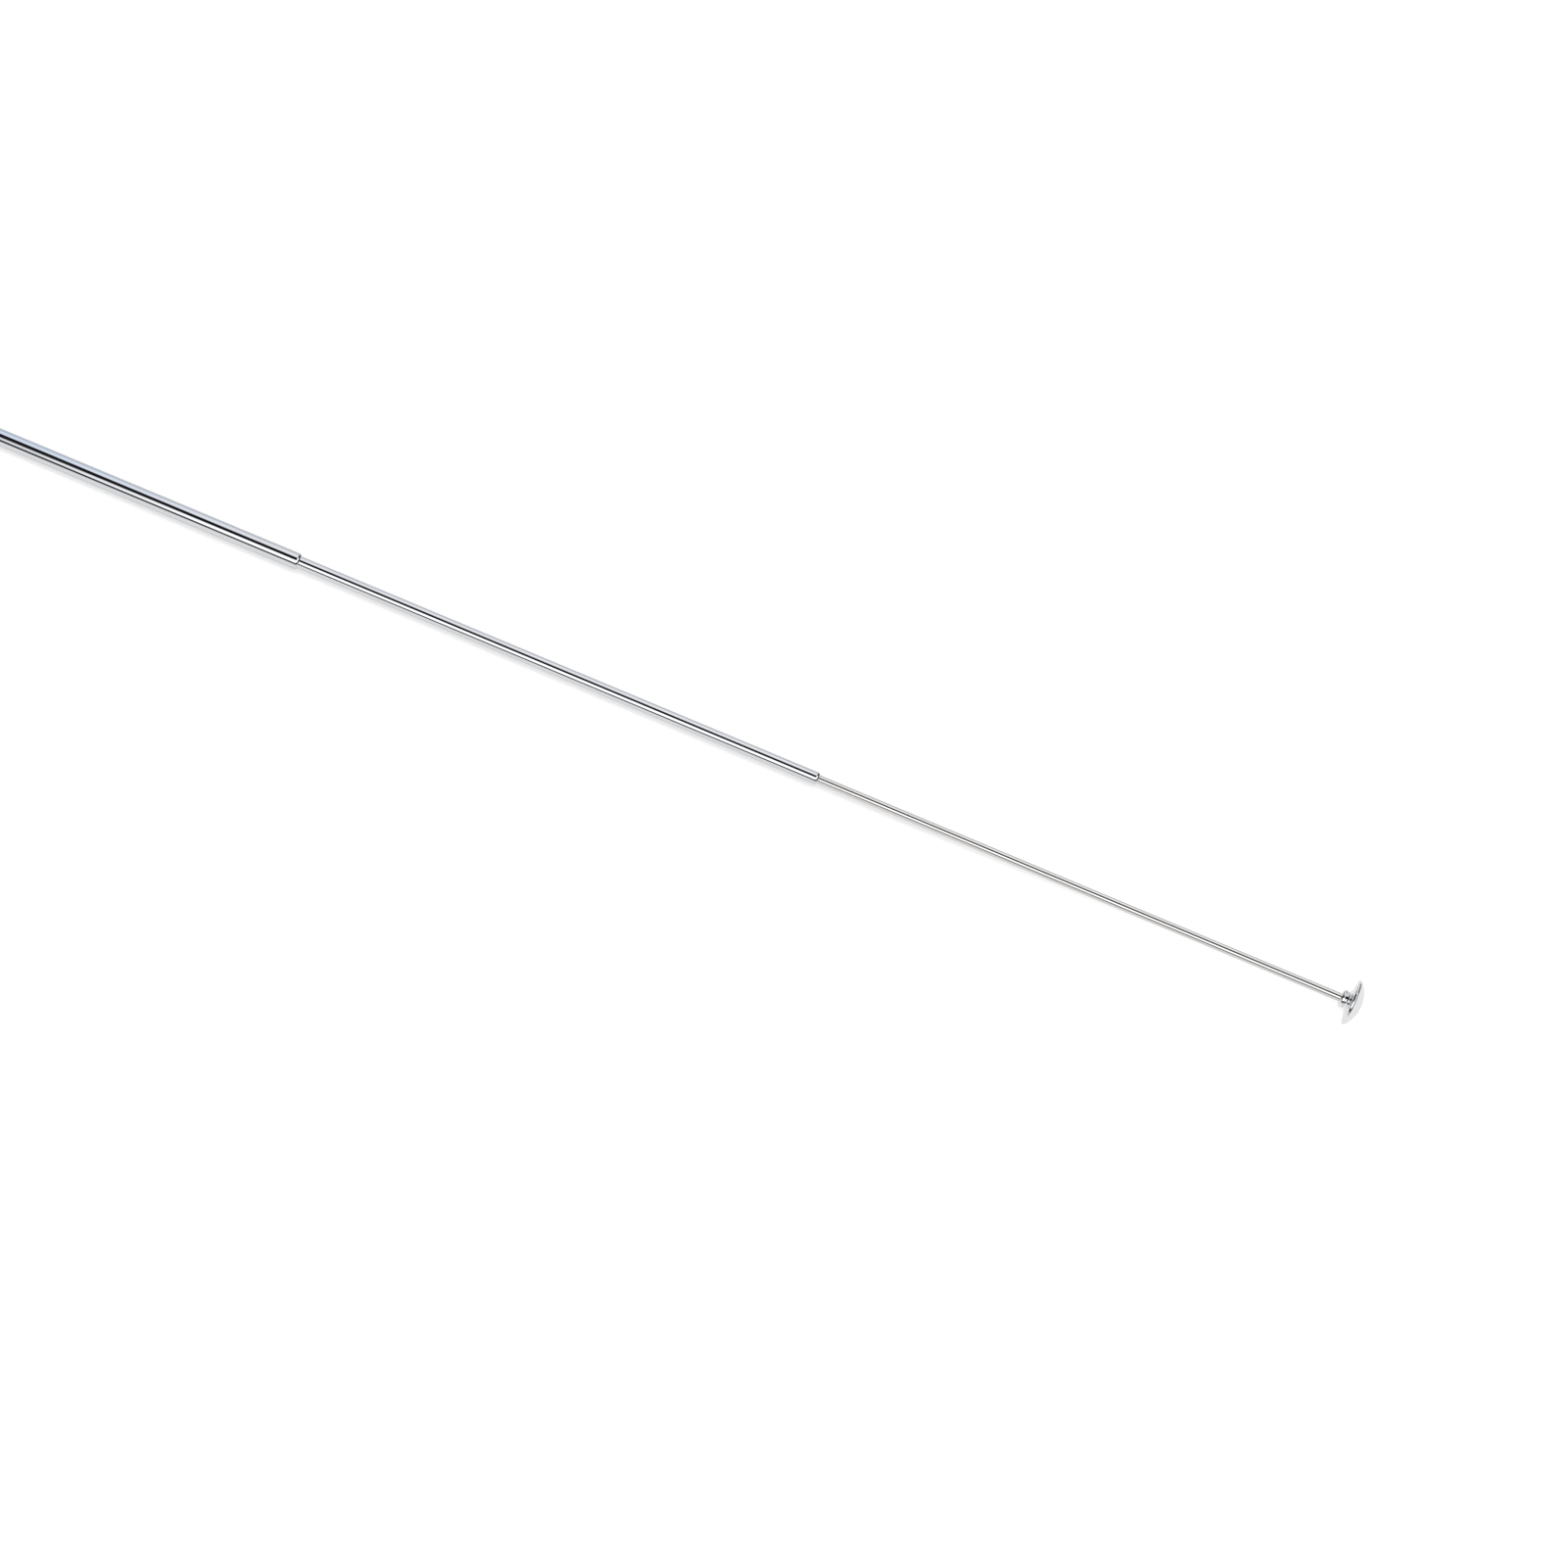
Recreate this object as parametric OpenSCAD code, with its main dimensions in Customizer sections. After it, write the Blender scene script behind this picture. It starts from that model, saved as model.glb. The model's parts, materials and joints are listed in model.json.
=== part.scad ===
// Telescopic whip antenna, drawn out, lying along +X with its tip at the far end.
// The origin is on the axis, in the reference plane of the coaxial plug.

/* [Telescopic sections] */
// Outside diameter of the solid tip rod
rod_d = 2.0; // [1.6:0.05:2.6]
// Growth in outside diameter from one section to the next
step_d = 1.0; // [0.8:0.05:1.3]
// Wall of every tube
tube_wall = 0.2; // [0.14:0.01:0.25]
// Length that each drawn-out tube shows, mouth to mouth
reach = 133.0; // [50:0.5:220]
// How much further than a tube the tip rod stands out
cap_stand = 0.8; // [0.4:0.1:4]
// How far each mouth stands out of the next one when all is pushed in
stow_step = 1.0; // [0.5:0.1:4]

/* [Bushes and contact springs] */
// Length of the brass bush on each inner end
bush_len = 6.0; // [4.5:0.1:12]
// Length of each of the bush's two collars
bush_collar_len = 1.2; // [0.6:0.1:1.8]
// Radial clearance between a sliding piece and its guide
slide_gap = 0.04; // [0.02:0.005:0.06]
// Depth of the bush's waist, which holds the contact spring
waist_depth = 0.14; // [0.11:0.01:0.17]
// Thickness of the contact spring's bronze sheet
spring_t = 0.07; // [0.05:0.005:0.08]
// Clearance between the bowed spring and the bore
spring_gap = 0.012; // [0.01:0.002:0.03]
// Angle of the split in a contact spring
spring_split = 24; // [8:1:60]

/* [Rolled mouths] */
// Length of the rounded outer end
lip_len = 0.75; // [0.4:0.05:1.4]
// Width of the flat ring left at the very end
lip_face = 0.08; // [0.04:0.01:0.12]
// Length of the cylindrical guide in the mouth
lip_guide = 0.5; // [0.3:0.05:1.0]
// Length of the inner shoulder that stops the bush
lip_shoulder = 0.6; // [0.4:0.05:1.2]
// End play between the bush and that shoulder
stop_gap = 0.05; // [0.02:0.01:0.3]

/* [Tip cap] */
// Diameter of the cap's rim
cap_d = 11.3; // [9:0.1:16]
// Thickness of the rim
cap_rim_t = 1.05; // [0.8:0.05:1.6]
// Height of the dome above the rim
cap_dome_h = 1.95; // [1.0:0.05:3]
// Radius of the roundings on the rim's two edges
cap_edge_r = 0.5; // [0.15:0.05:0.5]
// Length of the hollow flare behind the rim
cap_flare_len = 1.1; // [0.8:0.05:2.5]
// Diameter of the neck where the flare starts
cap_neck_d = 4.2; // [3.7:0.05:5]
// Diameter of the collar bead
cap_bead_d = 4.5; // [4.2:0.05:6]
// Length of the collar bead
cap_bead_len = 1.3; // [0.8:0.05:1.5]
// Depth to which the rod is pressed into the cap
cap_seat = 2.8; // [1.5:0.1:3.2]

/* [Base tube and elbow] */
// Diameter of the barrel, the fork and the collar
knuckle_d = 7.8; // [7.6:0.05:9]
// Length of the tongue's plug in the base tube
plug_len = 6.0; // [4:0.1:10]
// Distance from the plug's end to the stowed sections
floor_gap = 1.0; // [0.5:0.1:5]
// Depth of the rolled crimp that holds the base tube
crimp_depth = 0.12; // [0.06:0.01:0.16]
// Width of the crimp
crimp_w = 0.8; // [0.5:0.05:1.4]
// Length of the tongue's collar
collar_len = 2.4; // [1.5:0.1:5]
// Chamfer on the turned edges of the base
edge_cut = 0.3; // [0.1:0.05:0.5]
// Thickness of the tongue
tongue_t = 2.4; // [1.8:0.1:2.9]
// How much the tongue's round end stays inside the knuckle
tongue_inset = 0.5; // [0.2:0.05:0.9]
// Space between the turning tongue or collar and the fork
swing_gap = 0.5; // [0.3:0.05:1.5]
// Thickness of a friction washer
washer_t = 0.26; // [0.15:0.01:0.35]
// How much a friction washer stays inside the tongue
washer_inset = 0.3; // [0.1:0.05:1.0]
// Clearance on each face of a friction washer
washer_gap = 0.02; // [0.01:0.005:0.05]
// Length of the solid root of the fork
fork_root = 2.2; // [1.6:0.1:4]
// Depth of the flat milled on each side of the fork
flat_cut = 0.5; // [0.3:0.05:0.8]

/* [Hinge screw] */
// Diameter of the screw's shank
screw_d = 2.0; // [1.6:0.05:2.2]
// Diameter of the screw's head
head_d = 3.8; // [3.2:0.05:4.2]
// Height of the screw's head
head_h = 1.0; // [0.8:0.05:1.4]
// Depth of the pocket that the head sits in
head_pocket = 0.7; // [0.4:0.05:0.9]
// Width of the screwdriver slot
slot_w = 0.5; // [0.3:0.05:0.7]
// Radial clearance of the turning fits on screw and spindle
turn_gap = 0.04; // [0.02:0.005:0.08]

/* [Swivel] */
// Length of the barrel
barrel_len = 13.0; // [11.8:0.1:20]
// Wall of the barrel
barrel_wall = 0.7; // [0.6:0.05:0.85]
// Wall of the insulating sleeve between barrel and spindle
sleeve_wall = 1.46; // [1.25:0.01:1.7]
// Depth of the two grooves turned in the barrel
barrel_groove = 0.2; // [0.1:0.02:0.3]
// Width of the insulating sleeve's visible flange
sleeve_flange = 0.9; // [0.6:0.05:2]
// Length of the insulating sleeve inside the barrel
sleeve_len = 7.0; // [5:0.1:7.5]
// Depth of the pocket for clip and wave washer
pocket_depth = 1.6; // [1.5:0.05:2.4]
// Thickness of the spindle clip
clip_t = 0.4; // [0.3:0.02:0.5]
// Radial height of the spindle clip
clip_h = 0.85; // [0.6:0.05:0.9]
// Depth of the clip's groove in the spindle
clip_bite = 0.3; // [0.2:0.02:0.4]
// Sheet thickness of the wave washer
wave_t = 0.14; // [0.08:0.01:0.16]
// Overall height of the wave washer
wave_h = 0.4; // [0.3:0.02:0.5]
// Clearance between faces that turn on each other
face_gap = 0.05; // [0.02:0.01:0.15]

/* [Coaxial plug] */
// Diameter of the centre contact's pin
pin_d = 0.914; // [0.8:0.01:1.1]
// Length of the pin past the reference plane
pin_reach = 2.2; // [1.5:0.1:2.8]
// Diameter of the centre contact inside the bead
pin_body_d = 1.27; // [1.2:0.01:1.6]
// Diameter of the centre contact's rear head
pin_head_d = 2.0; // [1.7:0.05:2.6]
// Thickness of the centre contact's rear head
pin_head_t = 0.5; // [0.3:0.05:0.6]
// Diameter of the shell under the nut
bearing_d = 4.9; // [4.85:0.01:5.2]
// Wall of the shell there, around the bead
bearing_wall = 0.39; // [0.32:0.01:0.5]
// Step down from there to the outer contact
contact_step = 0.17; // [0.1:0.01:0.2]
// Length of the bare outer contact
contact_len = 1.9; // [1.2:0.05:2.5]
// Thickness of the shell's flange
flange_t = 1.3; // [0.8:0.05:2.5]
// Length of the shell's spigot in the barrel
spigot_len = 4.2; // [3:0.1:4.3]

/* [Coupling nut] */
// Distance across the nut's flats
nut_af = 8.0; // [7.6:0.1:9]
// Length of the nut past the reference plane
nut_front = 3.4; // [2.4:0.1:4.5]
// Thickness of the nut's rear wall
nut_web = 1.8; // [1.5:0.05:3]
// Width of the retaining ring
ring_w = 0.5; // [0.3:0.02:0.6]
// Depth of the retaining ring's groove in the shell
ring_bite = 0.18; // [0.12:0.01:0.2]
// Depth of the retaining ring's groove in the nut
ring_lap = 0.25; // [0.15:0.01:0.4]
// Thickness of the gasket
gasket_t = 0.6; // [0.4:0.05:1]
// Radial height of the gasket between shell and thread
gasket_h = 0.42; // [0.4:0.01:0.55]

/* [Hidden] */
$fn = 72;

// Colours
chrome = [0.80, 0.81, 0.83];
nickel = [0.74, 0.73, 0.70];
steel = [0.72, 0.70, 0.69];
gold = [0.88, 0.70, 0.32];
brass = [0.78, 0.65, 0.36];
bronze = [0.70, 0.48, 0.30];
black_plastic = [0.06, 0.06, 0.06];
white_plastic = [0.93, 0.92, 0.89];
silicone = [0.70, 0.16, 0.12];

// Sections are counted from the tip: 1 is the rod, 6 is the base tube
FIRST_TUBE = 2;
BASE = 6;
ARC_STEPS = 6;
CUT = 1;
function section_r(k) = (rod_d + (k - 1) * step_d) / 2;
function bore_r(k) = section_r(k) - tube_wall;
function mouth_r(k) = section_r(k - 1) + slide_gap;
function bush_r(k) = bore_r(k + 1) - slide_gap;
function waist_r(k) = bush_r(k) - waist_depth;

// Around the plug: bead and outer contact follow the shell, the nut's thread the gasket
bead_d = bearing_d - 2 * bearing_wall;
contact_d = bearing_d - 2 * contact_step;
nut_thread_d = bearing_d + 2 * gasket_h + 4 * turn_gap;

// Along the plug
gasket_x = contact_len + face_gap;
web_x = gasket_x + gasket_t + face_gap;
nut_back_x = web_x + nut_web;
ring_x = web_x + nut_web / 2;
flange_x = nut_back_x + face_gap;
barrel_x = flange_x + flange_t;
spigot_x = barrel_x + spigot_len;
head_x = spigot_x + pin_head_t;
nut_bearing_r = bearing_d / 2 + turn_gap;

// Around the swivel and the elbow: all of it follows the knuckle
knuckle_r = knuckle_d / 2;
barrel_bore = knuckle_d - 2 * barrel_wall;
spindle_d = barrel_bore - 2 * sleeve_wall - 2 * turn_gap;
tongue_r = knuckle_r - tongue_inset;
washer_r = tongue_r - washer_inset;
fork_flats = knuckle_d - 2 * flat_cut;

// Along the swivel
barrel_end_x = barrel_x + barrel_len;
sleeve_x = barrel_end_x - sleeve_len;
pocket_x = sleeve_x + pocket_depth;
wave_x = pocket_x - face_gap - wave_h;
clip_x = wave_x - clip_t;
spindle_x = clip_x - clip_t;
fork_x = barrel_end_x + sleeve_flange + face_gap;
spindle_r = spindle_d / 2;
clip_in_r = spindle_r - clip_bite;
pocket_r = clip_in_r + clip_h + swing_gap;

// Along the elbow
slot_floor_x = fork_x + fork_root;
hinge_x = slot_floor_x + swing_gap + tongue_r;
collar_x = hinge_x + knuckle_r + swing_gap;
plug_x = collar_x + collar_len;
floor_x = plug_x + plug_len;
crimp_x = plug_x + plug_len / 2;
slot_half = tongue_t / 2 + washer_t + 2 * washer_gap;
screw_r = screw_d / 2;
head_seat_z = fork_flats / 2 - head_pocket;

// Along the mast
mouth_depth = lip_guide + lip_shoulder;
engaged = mouth_depth + stop_gap + bush_len;
travel = reach - stow_step;
base_mouth_x = floor_x + floor_gap + travel + engaged;
function mouth_x(k) = base_mouth_x + (BASE - k) * reach;
function rear_x(k) = k == BASE ? plug_x : mouth_x(k + 1) - engaged;
cap_x = mouth_x(FIRST_TUBE) + reach + cap_stand;
neck_x = cap_x + cap_bead_len;
rim_back_x = neck_x + cap_flare_len;
rim_front_x = rim_back_x + cap_rim_t;

// Points of an elliptic arc about [cx, cy], from angle a0 to a1
function arc(cx, cy, rx, ry, a0, a1, steps = ARC_STEPS) =
    [for (i = [0 : steps]) let (a = a0 + (a1 - a0) * i / steps) [cx + rx * cos(a), cy + ry * sin(a)]];

// Turns a profile of [radius, x] points about the X axis
module turned(points, angle = 360)
    rotate([0, 90, 0])
        rotate_extrude(angle = angle)
            polygon(points);

// A plain ring or disc about the X axis
module ring(x, length, outer, inner = 0)
    translate([x, 0, 0])
        rotate([0, 90, 0])
            difference() {
                cylinder(h = length, r = outer);
                if (inner > 0)
                    translate([0, 0, -CUT])
                        cylinder(h = length + 2 * CUT, r = inner);
            }

// A chamfered cylinder about the X axis
module turned_bar(x0, x1, r, cut0, cut1)
    turned([[0, x0], [r - cut0, x0], [r, x0 + cut0], [r, x1 - cut1], [r - cut1, x1], [0, x1]]);

// A tube with its rear end plain and its mouth rolled in over the next section;
// groove and ridge are the points of a crimp on its outside and inside
module mast_tube(k, groove = [], ridge = []) {
    x1 = mouth_x(k);
    outer = section_r(k);
    face_r = mouth_r(k) + lip_face;
    lip = arc(face_r, x1 - lip_len, outer - face_r, lip_len, 0, 90);
    turned(concat(
        [[bore_r(k), rear_x(k)], [outer, rear_x(k)]],
        groove,
        lip,
        [[mouth_r(k), x1], [mouth_r(k), x1 - lip_guide], [bore_r(k), x1 - mouth_depth]],
        ridge));
}

// Points of the crimp on a cylinder of radius r, from its rear side (1) or its front side (-1)
function crimp(r, side) =
    [[r, crimp_x - side * crimp_w / 2], [r - crimp_depth, crimp_x], [r, crimp_x + side * crimp_w / 2]];

// Brass bush on the inner end of section k: two collars and a waist
module slide_bush(k) {
    x0 = rear_x(k);
    x1 = x0 + bush_len;
    turned([[section_r(k), x0], [bush_r(k), x0], [bush_r(k), x0 + bush_collar_len],
            [waist_r(k), x0 + bush_collar_len], [waist_r(k), x1 - bush_collar_len],
            [bush_r(k), x1 - bush_collar_len], [bush_r(k), x1], [section_r(k), x1]]);
}

// Split bronze sleeve in the bush's waist, bowed outwards to rub on the bore
module contact_spring(k) {
    x0 = rear_x(k) + bush_collar_len + spring_gap;
    x1 = rear_x(k) + bush_len - bush_collar_len - spring_gap;
    middle = (x0 + x1) / 2;
    half = (x1 - x0) / 2;
    foot = waist_r(k) + spring_gap;
    bow = bore_r(k + 1) - spring_gap - spring_t - foot;
    outside = arc(foot + spring_t, middle, bow, half, -90, 90, 2 * ARC_STEPS);
    inside = arc(foot, middle, bow, half, 90, -90, 2 * ARC_STEPS);
    turned(concat(outside, inside), 360 - spring_split);
}

module connector_shell()
    color(nickel) {
        turned([[bead_d / 2, 0], [contact_d / 2, 0], [contact_d / 2, contact_len],
                [bearing_d / 2, contact_len],
                [bearing_d / 2, ring_x - ring_w / 2 - face_gap],
                [bearing_d / 2 - ring_bite, ring_x - ring_w / 2 - face_gap],
                [bearing_d / 2 - ring_bite, ring_x + ring_w / 2 + face_gap],
                [bearing_d / 2, ring_x + ring_w / 2 + face_gap],
                [bearing_d / 2, flange_x], [knuckle_r - edge_cut, flange_x],
                [knuckle_r, flange_x + edge_cut], [knuckle_r, barrel_x],
                [barrel_bore / 2, barrel_x], [barrel_bore / 2, spigot_x], [bead_d / 2, spigot_x]]);
    }

module insulator_bead()
    color(white_plastic) ring(0, spigot_x, bead_d / 2, pin_body_d / 2);

module centre_pin() {
    tip_r = pin_d / 4;
    color(gold)
        turned(concat(
            [[0, -pin_reach]],
            arc(tip_r, tip_r - pin_reach, pin_d / 2 - tip_r, tip_r, -90, 0),
            [[pin_d / 2, 0], [pin_body_d / 2, 0], [pin_body_d / 2, spigot_x],
             [pin_head_d / 2, spigot_x], [pin_head_d / 2, head_x], [0, head_x]]));
}

// Coil between the centre contact's head and the end of the spindle
module pin_spring() {
    wire_r = 0.15;
    turns = 3;
    per_turn = 20;
    sides = 8;
    clear = face_gap / 2;
    coil_r = pin_head_d / 2 - wire_r;
    x0 = head_x + clear + wire_r;
    rise = spindle_x - clear - wire_r - x0;
    rings = turns * per_turn;
    points = [for (i = [0 : rings], j = [0 : sides - 1])
        let (a = 360 * i / per_turn, b = 360 * j / sides, r = coil_r + wire_r * cos(b))
        [x0 + rise * i / rings + wire_r * sin(b), r * cos(a), r * sin(a)]];
    side_faces = [for (i = [0 : rings - 1], j = [0 : sides - 1])
        let (n = (j + 1) % sides)
        [i * sides + j, i * sides + n, (i + 1) * sides + n, (i + 1) * sides + j]];
    start_face = [for (j = [sides - 1 : -1 : 0]) j];
    end_face = [for (j = [0 : sides - 1]) rings * sides + j];
    color(gold) polyhedron(points, concat(side_faces, [start_face, end_face]));
}

// Split ring half in the shell's groove and half in the nut's
module nut_retainer() {
    inner = bearing_d / 2 - ring_bite + turn_gap;
    outer = nut_bearing_r + ring_lap - turn_gap;
    x0 = ring_x - ring_w / 2;
    split = 20;
    color(bronze)
        turned([[inner, x0], [outer, x0], [outer, x0 + ring_w], [inner, x0 + ring_w]], 360 - split);
}

module coupling_nut() {
    corner_r = nut_af / 2 / cos(30);
    length = nut_back_x + nut_front;
    ring_half = ring_w / 2 + face_gap;
    groove_r = nut_bearing_r + ring_lap;
    thread_r = nut_thread_d / 2;
    color(nickel)
        difference() {
            intersection() {
                translate([-nut_front, 0, 0])
                    rotate([0, 90, 0])
                        rotate([0, 0, 30])
                            cylinder(h = length, r = corner_r, $fn = 6);
                turned_bar(-nut_front, nut_back_x, corner_r, corner_r - nut_af / 2, corner_r - nut_af / 2);
            }
            turned([[0, -nut_front - CUT], [thread_r + edge_cut + CUT, -nut_front - CUT],
                    [thread_r, -nut_front + edge_cut], [thread_r, web_x], [nut_bearing_r, web_x],
                    [nut_bearing_r, ring_x - ring_half], [groove_r, ring_x - ring_half],
                    [groove_r, ring_x + ring_half], [nut_bearing_r, ring_x + ring_half],
                    [nut_bearing_r, nut_back_x + CUT], [0, nut_back_x + CUT]]);
        }
}

module nut_gasket()
    color(silicone) ring(gasket_x, gasket_t, nut_thread_d / 2 - turn_gap, nut_bearing_r);

module swivel_barrel() {
    groove_w = 0.5;
    groove_inset = 1.6;
    color(nickel)
        difference() {
            turned_bar(barrel_x, barrel_end_x, knuckle_r, 0, edge_cut);
            ring(barrel_x - CUT, barrel_len + 2 * CUT, barrel_bore / 2);
            for (x = [barrel_x + groove_inset, barrel_end_x - groove_inset - groove_w])
                ring(x, groove_w, knuckle_r + CUT, knuckle_r - barrel_groove);
        }
}

module insulating_sleeve() {
    bore = spindle_r + turn_gap;
    flange_end_x = barrel_end_x + sleeve_flange;
    color(black_plastic)
        turned([[pocket_r, sleeve_x], [barrel_bore / 2, sleeve_x], [barrel_bore / 2, barrel_end_x],
                [knuckle_r, barrel_end_x], [knuckle_r, flange_end_x], [bore, flange_end_x],
                [bore, pocket_x], [pocket_r, pocket_x]]);
}

// The outline of fork or tongue from above: a round end about the hinge and a straight root
module knuckle_outline(r, root_x, end_x)
    union() {
        translate([hinge_x, 0]) circle(r = r);
        translate([min(root_x, end_x), -r]) square([abs(end_x - root_x), 2 * r]);
    }

module elbow_yoke() {
    ears_end_x = hinge_x + knuckle_r;
    tall = 2 * knuckle_d;
    color(chrome)
        difference() {
            union() {
                turned([[0, spindle_x], [spindle_r - edge_cut, spindle_x],
                        [spindle_r, spindle_x + edge_cut],
                        [spindle_r, clip_x - face_gap / 2], [clip_in_r, clip_x - face_gap / 2],
                        [clip_in_r, clip_x + clip_t + face_gap / 2],
                        [spindle_r, clip_x + clip_t + face_gap / 2],
                        [spindle_r, fork_x], [0, fork_x]]);
                intersection() {
                    turned_bar(fork_x, ears_end_x + CUT, knuckle_r, edge_cut, 0);
                    translate([0, 0, -knuckle_d])
                        linear_extrude(height = tall)
                            knuckle_outline(knuckle_r, fork_x, hinge_x);
                }
            }
            translate([slot_floor_x, -knuckle_d, -slot_half])
                cube([ears_end_x, tall, 2 * slot_half]);
            for (side = [-1, 1])
                translate([slot_floor_x, -knuckle_d, side > 0 ? fork_flats / 2 : -tall - fork_flats / 2])
                    cube([ears_end_x, tall, tall]);
            translate([hinge_x, 0, -knuckle_d]) cylinder(h = tall, r = screw_r);
            translate([hinge_x, 0, 0]) cylinder(h = knuckle_d, r = screw_r + turn_gap);
            translate([hinge_x, 0, head_seat_z]) cylinder(h = knuckle_d, r = head_d / 2 + turn_gap);
        }
}

module spindle_clip() {
    mouth_w = 2 * clip_in_r * sin(60);
    outer = clip_in_r + clip_h;
    color(steel)
        difference() {
            ring(clip_x, clip_t, outer, clip_in_r + turn_gap / 2);
            translate([clip_x - CUT, -mouth_w / 2, 0])
                cube([clip_t + 2 * CUT, mouth_w, outer + CUT]);
        }
}

// Three-wave spring washer between the clip and the floor of the pocket
module wave_washer() {
    waves = 3;
    steps = 48;
    inner = spindle_r + turn_gap;
    outer = clip_in_r + clip_h;
    height = wave_h - face_gap;
    swing = (height - wave_t) / 2;
    corners = [[inner, 0], [outer, 0], [outer, wave_t], [inner, wave_t]];
    points = [for (i = [0 : steps - 1], c = corners)
        let (a = 360 * i / steps)
        [wave_x + face_gap / 2 + swing * (1 + cos(waves * a)) + c[1], c[0] * cos(a), c[0] * sin(a)]];
    faces = [for (i = [0 : steps - 1], j = [0 : 3])
        let (m = (i + 1) % steps, n = (j + 1) % 4)
        [i * 4 + j, m * 4 + j, m * 4 + n, i * 4 + n]];
    color(steel) polyhedron(points, faces);
}

module hinge_screw() {
    crown = head_h / 3;
    color(steel)
        difference() {
            translate([hinge_x, 0, 0])
                union() {
                    translate([0, 0, edge_cut - fork_flats / 2])
                        cylinder(h = head_seat_z + fork_flats / 2 - edge_cut, r = screw_r);
                    translate([0, 0, head_seat_z])
                        rotate_extrude()
                            polygon(concat([[0, 0], [head_d / 2, 0]],
                                arc(0, head_h - crown, head_d / 2, crown, 0, 90)));
                }
            translate([hinge_x - head_d, -slot_w / 2, head_seat_z + head_h / 2])
                cube([2 * head_d, slot_w, head_h]);
        }
}

module friction_washers()
    color(bronze)
        for (z = [tongue_t / 2 + washer_gap, -tongue_t / 2 - washer_gap - washer_t])
            translate([hinge_x, 0, z])
                difference() {
                    cylinder(h = washer_t, r = washer_r);
                    translate([0, 0, -CUT]) cylinder(h = washer_t + 2 * CUT, r = screw_r + turn_gap);
                }

module elbow_tongue()
    color(chrome)
        difference() {
            union() {
                intersection() {
                    ring(hinge_x - tongue_r, collar_x - hinge_x + tongue_r, tongue_r);
                    translate([0, 0, -tongue_t / 2])
                        linear_extrude(height = tongue_t)
                            knuckle_outline(tongue_r, hinge_x, collar_x);
                }
                turned_bar(collar_x, plug_x, knuckle_r, edge_cut, edge_cut);
                turned(concat([[0, plug_x], [bore_r(BASE), plug_x]], crimp(bore_r(BASE), 1),
                              [[bore_r(BASE), floor_x], [0, floor_x]]));
            }
            translate([hinge_x, 0, -tongue_t]) cylinder(h = 2 * tongue_t, r = screw_r + turn_gap);
        }

// The base tube has a rolled crimp over the groove in the tongue's plug
module base_tube()
    color(chrome) mast_tube(BASE, crimp(section_r(BASE), 1), crimp(bore_r(BASE), -1));

module tube(k) color(chrome) mast_tube(k);
module bush(k) color(brass) slide_bush(k);
module spring(k) color(bronze) contact_spring(k);

module tip_rod()
    color(steel) turned_bar(rear_x(1), cap_x + cap_seat, section_r(1), tube_wall, tube_wall);

// Mushroom cap: collar bead, neck, hollow flare, rounded rim and a shallow dome that runs on from it
module tip_cap() {
    neck_r = cap_neck_d / 2;
    bead_r = cap_bead_d / 2;
    bead_round = cap_bead_len / 2;
    bead_arc_end = 60;
    edge_r = min(cap_edge_r, 0.48 * cap_rim_t);
    flare_r = cap_d / 2 - edge_r;
    rise = cap_dome_h + edge_r;
    dome_r = (flare_r * flare_r + rise * rise - edge_r * edge_r) / (2 * cap_dome_h);
    dome_start = atan2(dome_r - rise, flare_r);
    color(chrome)
        turned(concat(
            [[0, cap_x + cap_seat], [section_r(1), cap_x + cap_seat], [section_r(1), cap_x]],
            arc(bead_r - bead_round, cap_x + bead_round, bead_round, bead_round, -90, bead_arc_end),
            arc(flare_r, neck_x, neck_r - flare_r, cap_flare_len, 0, 90),
            arc(flare_r, rim_back_x + edge_r, edge_r, edge_r, -90, 0),
            arc(flare_r, rim_front_x - edge_r, edge_r, edge_r, 0, dome_start),
            arc(0, rim_front_x + cap_dome_h - dome_r, dome_r, dome_r, dome_start, 90)));
}

connector_shell();
insulator_bead();
centre_pin();
pin_spring();
nut_retainer();
coupling_nut();
nut_gasket();
swivel_barrel();
insulating_sleeve();
elbow_yoke();
spindle_clip();
wave_washer();
hinge_screw();
friction_washers();
elbow_tongue();
base_tube();
tube(5);  // tube_5
bush(5);  // tube_5_bush
spring(5);  // tube_5_spring
tube(4);  // tube_4
bush(4);  // tube_4_bush
spring(4);  // tube_4_spring
tube(3);  // tube_3
bush(3);  // tube_3_bush
spring(3);  // tube_3_spring
tube(2);  // tube_2
bush(2);  // tube_2_bush
spring(2);  // tube_2_spring
tip_rod();
bush(1);  // rod_bush
spring(1);  // rod_spring
tip_cap();
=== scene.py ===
"""Telescopic whip antenna, drawn out and lying on a white table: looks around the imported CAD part."""

import json
import math

import bmesh
import bpy
from mathutils import Matrix, Vector


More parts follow.
